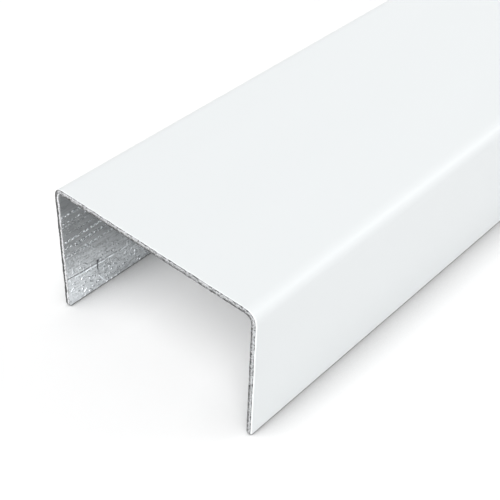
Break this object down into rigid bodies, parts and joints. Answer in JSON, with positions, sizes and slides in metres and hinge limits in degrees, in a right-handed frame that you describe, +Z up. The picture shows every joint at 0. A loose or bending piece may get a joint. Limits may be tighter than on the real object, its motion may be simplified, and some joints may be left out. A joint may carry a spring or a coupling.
{
  "type": "aluminium u-channel",
  "caption": "Straight folded sheet u-channel for trimming edges, covering cables or holding a panel between its flanges.",
  "frame": {"origin": "on the floor under the middle of the piece, at half its length and half its width", "axes": "+Z up from the flange tips to the web, Y along the length, X across from flange to flange; the open side faces down"},
  "size_m": [0.05, 1, 0.03],
  "materials": {
    "coated_sheet": "smooth satin white coat on the outside, bare mill-finish aluminium on the inside and at the sheared ends"
  },
  "bodies": {
    "root": {"channel": "coated_sheet"}
  },
  "joints": []
}
